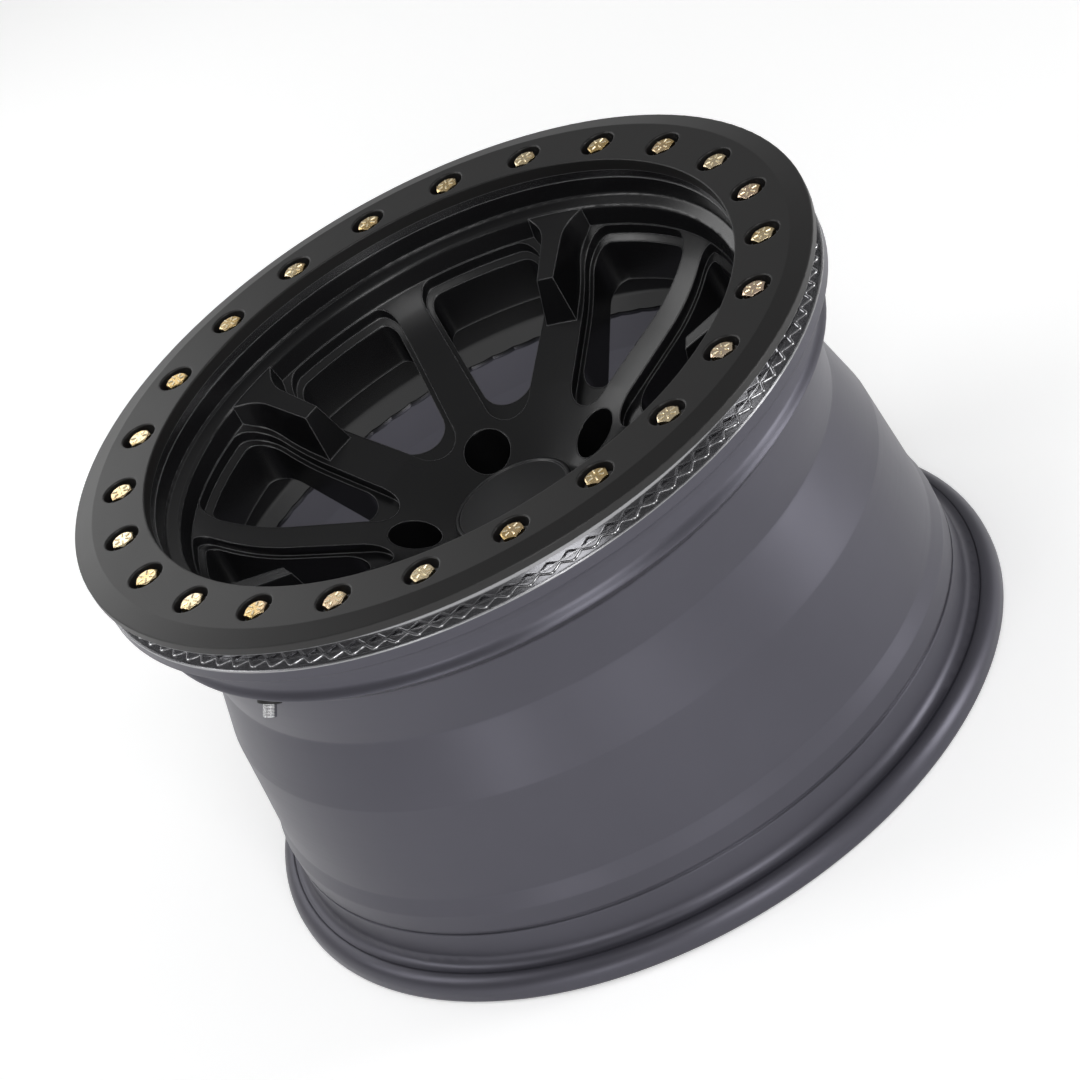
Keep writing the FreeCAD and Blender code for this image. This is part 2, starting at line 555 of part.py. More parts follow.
ring.setExpression("Placement.Rotation.Angle", full("@bolt_phase"))

# One bolt and one washer at the bolt circle; the rest are copies round the ring,
# each head turned its own way.
head_round = "@bolt_head_flats / 3 ^ 0.5"
bolt_top = "@overall_height - @head_below_face"
head = new_body("bolt_pattern_piece")
head_sketch = new_sketch(head, "bolt_hex", "XY_Plane", head_seat + " + @washer_thick")
hexagon(head_sketch, head_round)
doc.recompute()
head_pad = head.newObject("PartDesign::Pad", "bolt_head")
head_pad.Profile = head_sketch
head_pad.setExpression("Length", full("@bolt_head_high"))
doc.recompute()
head_cut = new_sketch(head, "bolt_head_round", "XZ_Plane")
outline(head_cut, [
    ("@bolt_head_flats * 0.46", bolt_top + " + 1", None),
    ("@bolt_head_flats * 0.46", bolt_top, None),
    ("@bolt_head_flats * 0.62", bolt_top + " - @bolt_head_flats * 0.08", None),
    ("@bolt_head_flats * 0.62", bolt_top + " + 1", None),
])
doc.recompute()
head_groove = head.newObject("PartDesign::Groove", "bolt_head_bevel")
head_groove.Profile = head_cut
head_groove.ReferenceAxis = (head_cut, ["V_Axis"])
head_groove.Angle = 360
doc.recompute()
shank_sketch = new_sketch(head, "bolt_shank_section", "XZ_Plane")
outline(shank_sketch, [
    ("0", head_seat + " + @washer_thick + 1", None),
    ("@bolt_shank_rad", head_seat + " + @washer_thick + 1", None),
    ("@bolt_shank_rad", seat + " - @bolt_grip + 1", None),
    ("@bolt_shank_rad - 1", seat + " - @bolt_grip", None),
    ("0", seat + " - @bolt_grip", None),
])
doc.recompute()
shank = head.newObject("PartDesign::Revolution", "bolt_shank")
shank.Profile = shank_sketch
shank.ReferenceAxis = (shank_sketch, ["V_Axis"])
shank.Angle = 360
doc.recompute()
disc = turned("washer_pattern_piece", [
    ("@bolt_shank_rad + 0.4", head_seat, None),
    ("@washer_rad", head_seat, None),
    ("@washer_rad", head_seat + " + @washer_thick", "0.3"),
    ("@bolt_shank_rad + 0.4", head_seat + " + @washer_thick", None),
])


def round_the_ring(name, source, spin):
    copies = []
    for k in range(bolts):
        piece = source.Shape.copy()
        piece.rotate(FreeCAD.Vector(), FreeCAD.Vector(0, 0, 1), (k * spin) % 60)
        piece.translate(FreeCAD.Vector(size["bolt_circle_rad"], 0, 0))
        piece.rotate(FreeCAD.Vector(), FreeCAD.Vector(0, 0, 1), size["bolt_phase"] + 360.0 * k / bolts)
        copies.append(piece)
    group = doc.addObject("Part::Feature", name)
    group.Label = name
    group.Shape = Part.makeCompound(copies)
    return group


ring_bolts = round_the_ring("ring_bolts", head, 37.0)
ring_washers = round_the_ring("ring_washers", disc, 0.0)

# Centre cap: a shallow puck on the hub's seat, with a slotted skirt in the bore.
skirt_out = "@cap_bore_rad - @cap_skirt_clear"
skirt_in = "@cap_bore_rad - @cap_skirt_clear - @cap_skirt_wall"
cap = turned("centre_cap", [
    ("0", "@cap_height - @cap_dish", None),
    ("@cap_rad - @cap_rim_wide", "@cap_height - @cap_dish", None),
    ("@cap_rad - @cap_rim_wide + @cap_dish", "@cap_height", None),
    ("@cap_rad", "@cap_height", "1.5"),
    ("@cap_rad", "@cap_seat_height", None),
    (skirt_out, "@cap_seat_height", None),
    (skirt_out, "@cap_seat_height - @cap_skirt_deep", "0.8"),
    (skirt_in, "@cap_seat_height - @cap_skirt_deep", None),
    (skirt_in, "@cap_seat_height", None),
    ("@cap_rad - @cap_rim_wide - @cap_wall", "@cap_height - @cap_dish - @cap_wall", None),
    ("0", "@cap_height - @cap_dish - @cap_wall", None),
])
slot_sketch = new_sketch(cap, "cap_slot", "XZ_Plane")
outline(slot_sketch, [
    ("-@cap_slot_wide / 2", "@cap_seat_height - @cap_skirt_deep - 3", None),
    ("@cap_slot_wide / 2", "@cap_seat_height - @cap_skirt_deep - 3", None),
    ("@cap_slot_wide / 2", "@cap_seat_height - 2.5", None),
    ("-@cap_slot_wide / 2", "@cap_seat_height - 2.5", None),
])
doc.recompute()
slot = cap.newObject("PartDesign::Pocket", "cap_slot_cut")
slot.Profile = slot_sketch
slot.Type = "Length"
slot.setExpression("Length", full("@cap_bore_rad + 5"))
doc.recompute()
ring_of(cap, [slot], 6)
spring = doc.addObject("Part::Torus", "cap_spring_ring")
spring.Label = "cap_spring_ring"
spring_rad = "@cap_bore_rad - @cap_skirt_clear - @cap_skirt_wall - @spring_wire - @spring_fit"
spring.setExpression("Radius1", full(spring_rad))
spring.setExpression("Radius2", full("@spring_wire"))
spring.setExpression("Placement.Base.z", full("@cap_seat_height - @cap_skirt_deep + 3 * @spring_wire"))

# Valve pieces, in their own frame: tyre side below zero, face side above.
grommet = turned("valve_grommet", [
    ("@valve_stem_rad + @valve_fit", "-@grommet_thick", None),
    ("@grommet_rad", "-@grommet_thick", "0.8"),
    ("@grommet_rad", "0", None),
    ("@valve_hole_rad - @valve_fit", "0", None),
    ("@valve_hole_rad - @valve_fit", "@grommet_neck", None),
    ("@valve_stem_rad + @valve_fit", "@grommet_neck", None),
    ("@valve_stem_rad + @valve_fit", "@valve_fit - @valve_collar_in", None),
    ("@valve_collar_rad + @valve_fit", "@valve_fit - @valve_collar_in", None),
    ("@valve_collar_rad + @valve_fit", "-@valve_collar_in - @valve_collar_thick - @valve_fit", None),
    ("@valve_stem_rad + @valve_fit", "-@valve_collar_in - @valve_collar_thick - @valve_fit", None),
])
stem = turned("valve_stem", [
    ("0", "-@grommet_thick - @valve_tail", None),
    ("@valve_stem_rad", "-@grommet_thick - @valve_tail", "0.6"),
    ("@valve_stem_rad", "-@valve_collar_in - @valve_collar_thick", None),
    ("@valve_collar_rad", "-@valve_collar_in - @valve_collar_thick", None),
    ("@valve_collar_rad", "-@valve_collar_in", None),
    ("@valve_stem_rad", "-@valve_collar_in", None),
    ("@valve_stem_rad", "@valve_length", "0.5"),
    ("@valve_core_rad", "@valve_length", None),
    ("@valve_core_rad", "@valve_length - @valve_core_deep", None),
    ("0", "@valve_length - @valve_core_deep", None),
])
valve_core = turned("valve_core", [
    ("0", "@valve_length - @valve_core_deep", None),
    ("@valve_core_rad - @valve_fit", "@valve_length - @valve_core_deep", None),
    ("@valve_core_rad - @valve_fit", "@valve_length - 3", None),
    ("0.9", "@valve_length - 3", None),
    ("0.9", "@valve_length - 0.6", None),
    ("0", "@valve_length - 0.6", None),
])
valve_washer = turned("valve_washer", [
    ("@valve_stem_rad + @valve_fit", "@valve_web", None),
    ("@valve_washer_rad", "@valve_web", None),
    ("@valve_washer_rad", "@valve_web + @valve_washer_thick", "0.3"),
    ("@valve_stem_rad + @valve_fit", "@valve_web + @valve_washer_thick", None),
])
nut_round = "@valve_nut_flats / 3 ^ 0.5"
nut = new_body("valve_nut")
nut_sketch = new_sketch(nut, "valve_nut_hex", "XY_Plane", "@valve_web + @valve_washer_thick")
hexagon(nut_sketch, nut_round)
doc.recompute()
nut_pad = nut.newObject("PartDesign::Pad", "valve_nut_pad")
nut_pad.Profile = nut_sketch
nut_pad.setExpression("Length", full("@valve_nut_thick"))
doc.recompute()
nut_hole = new_sketch(nut, "valve_nut_bore", "XZ_Plane")
outline(nut_hole, [
    ("0", "@valve_web", None),
    ("@valve_stem_rad + @valve_fit", "@valve_web", None),
    ("@valve_stem_rad + @valve_fit", "@valve_web + @valve_washer_thick + @valve_nut_thick + 2", None),
    ("0", "@valve_web + @valve_washer_thick + @valve_nut_thick + 2", None),
])
doc.recompute()
nut_groove = nut.newObject("PartDesign::Groove", "valve_nut_groove")
nut_groove.Profile = nut_hole
nut_groove.ReferenceAxis = (nut_hole, ["V_Axis"])
nut_groove.Angle = 360
doc.recompute()
valve_cap = turned("valve_cap", [
    ("@valve_stem_rad + @valve_fit", "@valve_length + 2 - @valve_cap_long", None),
    ("@valve_cap_rad", "@valve_length + 2 - @valve_cap_long", None),
    ("@valve_cap_rad", "@valve_length + 2", "1"),
    ("0", "@valve_length + 2", None),
    ("0", "@valve_length", None),
    ("@valve_stem_rad + @valve_fit", "@valve_length", None),
])
for piece in (grommet, stem, valve_core, valve_washer, nut, valve_cap):
    piece.Placement = valve_place
doc.recompute()

pieces = [casting, ring, ring_bolts, ring_washers, cap, spring,
          grommet, stem, valve_core, valve_washer, nut, valve_cap]
for item in doc.Objects:
    if "Invalid" in item.State or "Error" in item.State:
        raise RuntimeError("%s did not build: %s" % (item.Name, item.State))
for piece in pieces:
    if piece.Shape.isNull() or not piece.Shape.isValid():
        raise RuntimeError("%s has no valid solid" % piece.Label)
os.makedirs("parts", exist_ok=True)
for piece in pieces:
    shape = piece.Shape
    box = shape.BoundBox
    spans = [round(v, 1) for v in (box.XLength, box.YLength, box.ZMin, box.ZMax)]
    print(piece.Label, len(shape.Solids), "solids, volume", round(shape.Volume), "box", spans)
    shape.exportStep("parts/%s.step" % piece.Label)
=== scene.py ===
# Deep-dish off-road wheel with a bolted clamp ring: finishes, fine detail, light and camera
import bpy
import math
import numpy as np
from mathutils import Matrix, Vector


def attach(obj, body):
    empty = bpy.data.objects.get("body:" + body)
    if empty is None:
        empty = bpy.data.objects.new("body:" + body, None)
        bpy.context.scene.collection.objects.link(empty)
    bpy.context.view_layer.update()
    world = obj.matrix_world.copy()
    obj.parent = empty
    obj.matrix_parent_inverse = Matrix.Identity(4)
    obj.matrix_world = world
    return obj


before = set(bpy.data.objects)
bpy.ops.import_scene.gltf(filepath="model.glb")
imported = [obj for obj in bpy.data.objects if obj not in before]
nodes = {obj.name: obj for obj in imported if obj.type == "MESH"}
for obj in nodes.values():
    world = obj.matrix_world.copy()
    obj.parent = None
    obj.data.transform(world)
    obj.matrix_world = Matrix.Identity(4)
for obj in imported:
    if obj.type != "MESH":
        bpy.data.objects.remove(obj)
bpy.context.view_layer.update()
print("frame loaded:", len(nodes), "nodes")


def meshPiece(name, points, faces, smooth=True):
    # a finished piece: points is an n by 3 array in metres, faces a list or array of corner numbers
    mesh = bpy.data.meshes.new(name)
    mesh.from_pydata(np.asarray(points, float).tolist(), [], np.asarray(faces).tolist())
    mesh.validate()
    mesh.polygons.foreach_set("use_smooth", np.full(len(mesh.polygons), smooth))
    piece = bpy.data.objects.new(name, mesh)
    bpy.context.scene.collection.objects.link(piece)
    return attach(piece, "root")


def gridFaces(rows, cols, wrapRows=False, wrapCols=False):
    # quads between neighbouring rows and columns of a grid of points; a wrapped direction closes on itself
    i = np.arange(rows if wrapRows else rows - 1)[:, None]
    j = np.arange(cols if wrapCols else cols - 1)[None, :]
    a, b = i % rows, (i + 1) % rows
    c, d = j % cols, (j + 1) % cols
    corners = np.broadcast_arrays(a * cols + c, b * cols + c, b * cols + d, a * cols + d)
    return np.stack(corners, -1).reshape(-1, 4)


def newGroup(name, ins, outs):
    # a shader node group with named sockets: ins are (name, type, start value), outs are (name, type)
    tree = bpy.data.node_groups.new(name, "ShaderNodeTree")
    for label, kind, value in ins:
        tree.interface.new_socket(label, in_out="INPUT", socket_type=kind).default_value = value
    for label, kind in outs:
        tree.interface.new_socket(label, in_out="OUTPUT", socket_type=kind)
    return tree, tree.nodes.new("NodeGroupInput"), tree.nodes.new("NodeGroupOutput")


def put(tree, kind, values=None, **settings):
    # a node with its settings, then its input values or links by socket name or number
    node = tree.nodes.new(kind)
    for key, value in settings.items():
        setattr(node, key, value)
    for key, value in (values or {}).items():
        if isinstance(value, bpy.types.NodeSocket):
            tree.links.new(value, node.inputs[key])
        else:
            node.inputs[key].default_value = value
    return node


def sums(tree, operation, a, b=0.0, c=None):
    # one Math node and its result
    values = {0: a, 1: b}
    if c is not None:
        values[2] = c
    return put(tree, "ShaderNodeMath", values, operation=operation).outputs[0]


def step(tree, value, low, high):
    # 0 below low, 1 above high, smooth between
    ends = {"Value": value, "From Min": low, "From Max": high}
    return put(tree, "ShaderNodeMapRange", ends, interpolation_type="SMOOTHSTEP").outputs["Result"]


def blendColour(tree, factor, a, b):
    node = put(tree, "ShaderNodeMix", {0: factor}, data_type="RGBA")
    for slot, colour in ((6, a), (7, b)):
        if isinstance(colour, bpy.types.NodeSocket):
            tree.links.new(colour, node.inputs[slot])
        else:
            node.inputs[slot].default_value = (*colour, 1.0)
    return node.outputs[2]


def blendValue(tree, factor, a, b):
    return put(tree, "ShaderNodeMix", {0: factor, 2: a, 3: b}, data_type="FLOAT").outputs[0]


def tinted(tree, colour, tint):
    # a colour made darker or lighter by a value that changes over the surface
    shade = put(tree, "ShaderNodeCombineXYZ", {0: tint, 1: tint, 2: tint}).outputs[0]
    return put(tree, "ShaderNodeVectorMath", {0: colour, 1: shade}, operation="MULTIPLY").outputs[0]


number = "NodeSocketFloat"  # the kind of socket that the groups below use

# where a point is on the wheel: its distance from the axle, its height along it, and its turn round it
wheelPlace, groupIn, groupOut = newGroup(
    "wheelPlace", [], [("Radius", number), ("Height", number), ("Turn", number)])
spot = put(wheelPlace, "ShaderNodeSeparateXYZ", {0: put(wheelPlace, "ShaderNodeTexCoord").outputs["Object"]})
squared = [sums(wheelPlace, "MULTIPLY", spot.outputs[side], spot.outputs[side]) for side in (0, 1)]
squared = sums(wheelPlace, "ADD", *squared)
wheelPlace.links.new(sums(wheelPlace, "SQRT", squared), groupOut.inputs["Radius"])
wheelPlace.links.new(spot.outputs[2], groupOut.inputs["Height"])
wheelPlace.links.new(sums(wheelPlace, "ARCTAN2", spot.outputs[1], spot.outputs[0]), groupOut.inputs["Turn"])

# sprayed powder: a fine orange-peel height, and broad faint patches for the gloss
powderCoat, groupIn, groupOut = newGroup(
    "powderCoat", [("Grain Scale", number, 900.0), ("Patch Scale", number, 14.0)],
    [("Grain", number), ("Patch", number)])
spot = put(powderCoat, "ShaderNodeTexCoord").outputs["Object"]
grain = put(powderCoat, "ShaderNodeTexNoise", {
    "Vector": spot, "Scale": groupIn.outputs["Grain Scale"], "Detail": 2.0, "Roughness": 0.5})
patch = put(powderCoat, "ShaderNodeTexNoise", {
    "Vector": spot, "Scale": groupIn.outputs["Patch Scale"], "Detail": 3.0, "Roughness": 0.55})
powderCoat.links.new(grain.outputs[0], groupOut.inputs["Grain"])
powderCoat.links.new(patch.outputs[0], groupOut.inputs["Patch"])

# edges: how far the softened normal leans away from the face's own, 0 on the flat and 1 on a sharp corner;
# the casting and the cap use it to paint highlight lines along their edges
edgeHighlightMask, groupIn, groupOut = newGroup("edgeHighlightMask", [("Reach", number, 0.001)], [("Edge", number)])
soft = put(edgeHighlightMask, "ShaderNodeBevel", {"Radius": groupIn.outputs["Reach"]}, samples=3).outputs[0]
faceNormal = put(edgeHighlightMask, "ShaderNodeNewGeometry").outputs["Normal"]
lean = put(edgeHighlightMask, "ShaderNodeVectorMath", {0: soft, 1: faceNormal}, operation="DOT_PRODUCT")
lean = lean.outputs["Value"]
edgeHighlightMask.links.new(step(edgeHighlightMask, sums(edgeHighlightMask, "SUBTRACT", 1.0, lean), 0.01, 0.16), groupOut.inputs["Edge"])

# lathe marks: noise that changes fast across the radius and the height and hardly at all round the turn
latheMarks, groupIn, groupOut = newGroup(
    "latheMarks", [("Pitch", number, 0.0006), ("Drift", number, 1.5)], [("Marks", number)])
place = put(latheMarks, "ShaderNodeGroup", node_tree=wheelPlace)
across = sums(latheMarks, "DIVIDE", place.outputs["Radius"], groupIn.outputs["Pitch"])
along = sums(latheMarks, "DIVIDE", place.outputs["Height"], groupIn.outputs["Pitch"])
around = sums(latheMarks, "MULTIPLY", place.outputs["Turn"], groupIn.outputs["Drift"])
spot = put(latheMarks, "ShaderNodeCombineXYZ", {0: across, 1: along, 2: around}).outputs[0]
marks = put(latheMarks, "ShaderNodeTexNoise", {"Vector": spot, "Scale": 1.0, "Detail": 2.0})
latheMarks.links.new(marks.outputs[0], groupOut.inputs["Marks"])
print("node groups made")


def newMaterial(name):
    material = bpy.data.materials.new(name)
    material.use_nodes = True
    tree = material.node_tree
    return material, tree, tree.nodes["Principled BSDF"]


def feed(tree, shader, **sockets):
    # plain values are set on the shader's own sockets, the rest is linked
    for key, value in sockets.items():
        socket = shader.inputs[key.replace("_", " ")]
        if isinstance(value, bpy.types.NodeSocket):
            tree.links.new(value, socket)
        else:
            socket.default_value = value


def dress(name, material):
    nodes[name].data.materials.clear()
    nodes[name].data.materials.append(material)


def bumped(tree, height, depth, edge=0.0):
    # a bump of that depth in metres over a softened edge of that reach
    node = put(tree, "ShaderNodeBump", {"Height": height, "Distance": depth, "Strength": 1.0})
    if edge:
        soft = put(tree, "ShaderNodeBevel", {"Radius": edge}, samples=4)
        tree.links.new(soft.outputs[0], node.inputs["Normal"])
    return node.outputs[0]


def powder(tree, grainScale, patchScale):
    # the powder group placed in a material with its own scales
    scales = {"Grain Scale": grainScale, "Patch Scale": patchScale}
    return put(tree, "ShaderNodeGroup", scales, node_tree=powderCoat).outputs


def uneven(tree, rough, mask, spread):
    # a roughness that drifts by up to spread each way with the mask
    return sums(tree, "ADD", rough, blendValue(tree, mask, -spread, spread))


def scaled(colour, factor):
    return tuple(min(1.0, factor * c) for c in colour)


castingLook = {
    "dishColour": (0.0062, 0.0062, 0.0068), "barrelColour": (0.080, 0.078, 0.096),
    "machinedColour": (0.32, 0.32, 0.33), "dishRough": 0.26, "barrelRough": 0.40, "machinedRough": 0.26,
    "wallRough": 0.11, "wallOutside": 0.2218, "barrelMetal": 0.65,
    "barrelInside": 0.196, "barrelTop": 0.2475, "clampInside": 0.2195, "clampHeight": 0.2531,
    "coveFoot": 0.2190, "coveTop": 0.2275, "coveSwell": 0.0030,
    # the edge colour is a painted highlight: a light grey laid along the dish's edges
    "edgeSoft": 0.0018, "edgeReach": 0.0008, "paintedEdgeHighlight": (0.19, 0.19, 0.195), "edgeRough": 0.18,
    "grainDepth": 0.000012, "powderShare": 0.6, "tintSpread": 0.12, "roughSpread": 0.05, "latheSpread": 0.03,
}


def castingPaint(look):
    # satin black in the dish, charcoal on the barrel, bare turned metal where the ring clamps, and a painted
    # highlight, a lighter grey line, along the dish's edges
    material, tree, shader = newMaterial("castingPaint")
    place = put(tree, "ShaderNodeGroup", node_tree=wheelPlace).outputs
    coat = powder(tree, 800.0, 11.0)
    lathe = {"Pitch": 0.0009, "Drift": 0.8}
    marks = put(tree, "ShaderNodeGroup", lathe, node_tree=latheMarks).outputs["Marks"]
    above = step(tree, place["Height"], look["barrelTop"], look["barrelTop"] + 0.0008)
    below = sums(tree, "SUBTRACT", 1.0, above)
    beyond = step(tree, place["Radius"], look["clampInside"], look["clampInside"] + 0.0005)
    outside = step(tree, place["Radius"], look["barrelInside"], look["barrelInside"] + 0.001)
    onBarrel = sums(tree, "MULTIPLY", outside, sums(tree, "MAXIMUM", below, beyond))
    high = step(tree, place["Height"], look["clampHeight"], look["clampHeight"] + 0.0004)
    onClamp = sums(tree, "MULTIPLY", beyond, high)
    # painted highlight: the dish's edges are lightened to a grey line, and their roughness is lowered too
    edge = put(tree, "ShaderNodeGroup", {"Reach": look["edgeReach"]}, node_tree=edgeHighlightMask).outputs["Edge"]
    paint = blendColour(tree, edge, look["dishColour"], look["paintedEdgeHighlight"])
    paint = blendColour(tree, onBarrel, paint, look["barrelColour"])
    tint = blendValue(tree, coat["Patch"], 1 - look["tintSpread"], 1 + look["tintSpread"])
    paint = tinted(tree, paint, tint)
    colour = blendColour(tree, onClamp, paint, look["machinedColour"])
    rough = blendValue(tree, edge, look["dishRough"], look["edgeRough"])
    rough = blendValue(tree, onBarrel, rough, look["barrelRough"])
    rough = uneven(tree, rough, coat["Patch"], look["roughSpread"])
    # the upright wall inside the clamp face is turned smoother, so that it mirrors the knurl
    outOnFace = step(tree, place["Radius"], look["wallOutside"], look["wallOutside"] + 0.0002)
    turned = blendValue(tree, outOnFace, look["wallRough"], look["machinedRough"])
    rough = blendValue(tree, onClamp, rough, turned)
    streaks = blendValue(tree, marks, -look["latheSpread"], look["latheSpread"])
    rough = sums(tree, "ADD", rough, sums(tree, "MULTIPLY", onBarrel, streaks))
    grain = sums(tree, "MULTIPLY", coat["Grain"], look["powderShare"])
    height = sums(tree, "MULTIPLY", blendValue(tree, onClamp, grain, marks), look["grainDepth"])
    # the land swells outwards to its foot, where it ends in a ridge
    swell = sums(tree, "SUBTRACT", 1.0, step(tree, place["Height"], look["coveFoot"], look["coveTop"]))
    swell = sums(tree, "MULTIPLY", sums(tree, "MULTIPLY", swell, onBarrel), look["coveSwell"])
    height = sums(tree, "ADD", height, swell)
    metal = sums(tree, "MAXIMUM", onClamp, sums(tree, "MULTIPLY", onBarrel, look["barrelMetal"]))
    feed(tree, shader, Base_Color=colour, Roughness=rough, Metallic=metal, IOR=1.45,
         Normal=bumped(tree, height, 1.0, look["edgeSoft"]))
    return material


ringLook = {
    "colour": (0.0085, 0.0080, 0.0080), "machinedColour": (0.34, 0.34, 0.35), "rough": 0.42,
    "machinedRough": 0.24, "tintSpread": 0.1, "roughSpread": 0.05,
    "lipUnder": 0.2687, "edgeSoft": 0.0012, "grainDepth": 0.00001,
}


def ringPaint(look):
    # satin black plate, bare turned metal on its underside
    material, tree, shader = newMaterial("ringPaint")
    place = put(tree, "ShaderNodeGroup", node_tree=wheelPlace).outputs
    coat = powder(tree, 1000.0, 9.0)
    above = step(tree, place["Height"], look["lipUnder"], look["lipUnder"] + 0.0004)
    bare = sums(tree, "SUBTRACT", 1.0, above)
    tint = blendValue(tree, coat["Patch"], 1 - look["tintSpread"], 1 + look["tintSpread"])
    paint = tinted(tree, look["colour"], tint)
    colour = blendColour(tree, bare, paint, look["machinedColour"])
    rough = uneven(tree, look["rough"], coat["Patch"], look["roughSpread"])
    rough = blendValue(tree, bare, rough, look["machinedRough"])
    feed(tree, shader, Base_Color=colour, Roughness=rough, Metallic=bare, IOR=1.45,
         Normal=bumped(tree, coat["Grain"], look["grainDepth"], look["edgeSoft"]))
    return material


boltLook = {
    "deep": (0.76, 0.54, 0.23), "pale": (0.96, 0.80, 0.52), "pink": (0.93, 0.72, 0.60), "pinkShare": 0.7,
    "rough": 0.27, "roughSpread": 0.06, "grainDepth": 0.000008, "edgeSoft": 0.0004,
}


def boltPlate(look):
    # yellow zinc: gold that drifts towards brown and pink from bolt to bolt
    material, tree, shader = newMaterial("boltPlate")
    spot = put(tree, "ShaderNodeTexCoord").outputs["Object"]
    drift = put(tree, "ShaderNodeTexNoise", {"Vector": spot, "Scale": 45.0, "Detail": 2.0}).outputs[0]
    blush = put(tree, "ShaderNodeTexNoise", {"Vector": spot, "Scale": 21.0, "Detail": 1.0}).outputs[0]
    fine = put(tree, "ShaderNodeTexNoise", {"Vector": spot, "Scale": 1500.0, "Detail": 2.0}).outputs[0]
    colour = blendColour(tree, step(tree, drift, 0.35, 0.65), look["deep"], look["pale"])
    blush = sums(tree, "MULTIPLY", step(tree, blush, 0.5, 0.68), look["pinkShare"])
    colour = blendColour(tree, blush, colour, look["pink"])
    rough = uneven(tree, look["rough"], fine, look["roughSpread"])
    feed(tree, shader, Base_Color=colour, Roughness=rough, Metallic=1.0,
         Normal=bumped(tree, fine, look["grainDepth"], look["edgeSoft"]))
    return material


def plainMetal(name, colour, rough, depth):
    # plated or drawn metal: even colour, a little uneven polish
    material, tree, shader = newMaterial(name)
    coat = powder(tree, 2500.0, 120.0)
    shade = blendColour(tree, coat["Patch"], scaled(colour, 0.85), scaled(colour, 1.1))
    feed(tree, shader, Base_Color=shade, Roughness=uneven(tree, rough, coat["Patch"], 0.06), Metallic=1.0,
         Normal=bumped(tree, coat["Grain"], depth, 0.0003))
    return material


def mouldedBlack(name, colour, rough, depth, rimHighlight=None):
    # moulded plastic or rubber: fine spark-eroded grain over faint patches, and where a rim colour is given,
    # a painted highlight line along the edges
    material, tree, shader = newMaterial(name)
    coat = powder(tree, 1600.0, 40.0)
    shade = blendColour(tree, coat["Patch"], scaled(colour, 0.85), scaled(colour, 1.15))
    if rimHighlight:
        # painted highlight: the edges are lightened to the rim colour
        edge = put(tree, "ShaderNodeGroup", {"Reach": 0.0009}, node_tree=edgeHighlightMask).outputs["Edge"]
        shade = blendColour(tree, edge, shade, rimHighlight)
    feed(tree, shader, Base_Color=shade, Roughness=uneven(tree, rough, coat["Patch"], 0.04), IOR=1.46,
         Normal=bumped(tree, coat["Grain"], depth, 0.0005))
    return material


valveLook = {
    "colour": (0.66, 0.66, 0.67), "rough": 0.24, "roughSpread": 0.06,
    "turn": 217.2, "tilt": 38.0, "pitch": 0.0008, "depth": 0.00012, "edgeSoft": 0.0003,
}


def valveThread(look):
    # plated stem with a fine thread: a wave along the valve's own axis
    material, tree, shader = newMaterial("valveThread")
    coat = powder(tree, 2500.0, 120.0)
    turn, tilt = math.radians(look["turn"]), math.radians(look["tilt"])
    axis = (-math.sin(tilt) * math.cos(turn), -math.sin(tilt) * math.sin(turn), math.cos(tilt))
    spot = put(tree, "ShaderNodeTexCoord").outputs["Object"]
    along = put(tree, "ShaderNodeVectorMath", {0: spot, 1: axis}, operation="DOT_PRODUCT").outputs["Value"]
    wave = sums(tree, "SINE", sums(tree, "MULTIPLY", along, 2 * math.pi / look["pitch"]))
    shade = blendColour(tree, coat["Patch"], scaled(look["colour"], 0.85), scaled(look["colour"], 1.1))
    rough = uneven(tree, look["rough"], coat["Patch"], look["roughSpread"])
    feed(tree, shader, Base_Color=shade, Roughness=rough, Metallic=1.0,
         Normal=bumped(tree, wave, look["depth"], look["edgeSoft"]))
    return material


zincGold = boltPlate(boltLook)
nickel = plainMetal("nickel", (0.62, 0.62, 0.63), 0.24, 0.000004)
dress("wheel_casting", castingPaint(castingLook))
dress("beadlock_ring", ringPaint(ringLook))
dress("ring_bolts", zincGold)
dress("ring_washers", plainMetal("washerZinc", (0.5, 0.5, 0.51), 0.34, 0.000006))
# the cap's last colour is a painted highlight along its rim edges
capPlastic = mouldedBlack("capPlastic", (0.0135, 0.0135, 0.0145), 0.34, 0.000008, (0.13, 0.13, 0.135))
dress("centre_cap", capPlastic)
dress("cap_spring_ring", plainMetal("springWire", (0.36, 0.36, 0.38), 0.3, 0.000004))
dress("valve_grommet", mouldedBlack("valveRubber", (0.011, 0.011, 0.011), 0.55, 0.00001))
dress("valve_core", plainMetal("coreBrass", (0.70, 0.52, 0.24), 0.26, 0.000004))
dress("valve_stem", valveThread(valveLook))
for name in ("valve_washer", "valve_nut", "valve_cap"):
    dress(name, nickel)
print("finishes on")

knurl = {
    "periods": 108, "inside": 0.2221, "outside": 0.2270, "floor": 0.2546,
    "wide": 0.0021, "tall": 0.0009, "soft": 0.93, "steps": 12, "archSteps": 7,
}


